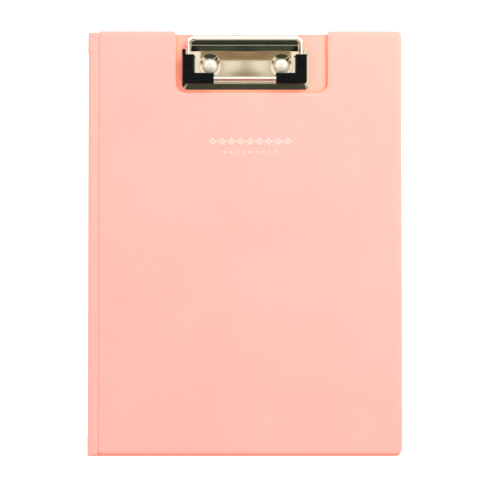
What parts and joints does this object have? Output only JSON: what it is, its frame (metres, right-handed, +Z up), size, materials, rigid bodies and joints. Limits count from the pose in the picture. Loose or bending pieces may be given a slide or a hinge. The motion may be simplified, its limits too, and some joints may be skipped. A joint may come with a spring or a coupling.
{
  "type": "clipboard",
  "caption": "Folding clipboard: stiff back panel with a sprung wire clip at its head, and a padded notched cover on a folding spine.",
  "frame": {"origin": "middle of the closed clipboard, on the surface that its back lies on", "axes": "+X across the page from the spine to the opening edge, +Y up the page towards the clip, +Z up through the layers towards the cover"},
  "size_m": [0.235, 0.3182, 0.0122],
  "materials": {
    "pink_leatherette": "fine even grain, satin",
    "salmon_lining": "matt, fine texture",
    "greyboard": "plain pressed board",
    "white_foam": "thin closed-cell foam sheet",
    "nickel_plate": "bright nickel plate",
    "nickel_rivet": "bright nickel plate",
    "nickel_wire": "bright nickel plate",
    "nylon_bush": "natural nylon",
    "spring_steel": "drawn spring wire, oiled",
    "black_rubber": "satin moulded rubber",
    "silver_foil": "hot-stamped foil"
  },
  "bodies": {
    "back": {"back_skin": "pink_leatherette", "back_board": "greyboard", "back_lining": "salmon_lining", "clip_base_plate": "nickel_plate", "rivet_left": "nickel_rivet", "rivet_right": "nickel_rivet", "rivet_washers": "nickel_rivet", "barrel_bush_left": "nylon_bush", "barrel_bush_right": "nylon_bush", "torsion_spring_left": "spring_steel", "torsion_spring_right": "spring_steel"},
    "spine": {"spine_skin": "pink_leatherette", "spine_stiffener": "greyboard", "spine_lining": "salmon_lining"},
    "cover": {"cover_skin": "pink_leatherette", "cover_padding": "white_foam", "cover_board": "greyboard", "cover_lining": "salmon_lining", "cover_pocket": "salmon_lining", "foil_mark": "silver_foil"},
    "clamp": {"wire_loop": "nickel_wire", "rubber_corner_left": "black_rubber", "rubber_corner_right": "black_rubber"}
  },
  "joints": [
    {"name": "spine_fold", "type": "hinge", "parent": "back", "child": "spine", "pos_m": [-0.1175, 0, 0.00315], "axis": [0, -1, 0], "range_deg": [0, 179.9]},
    {"name": "cover_fold", "type": "hinge", "parent": "spine", "child": "cover", "pos_m": [-0.1096, 0, 0.00645], "axis": [0, -1, 0], "range_deg": [0, 179.9]},
    {"name": "clamp_lift", "type": "hinge", "parent": "back", "child": "clamp", "pos_m": [0.0007, 0.153, 0.0083], "axis": [-1, 0, 0], "range_deg": [0, 85], "stiffness_Nm_per_rad": 0.2, "springref_deg": -91.67}
  ]
}
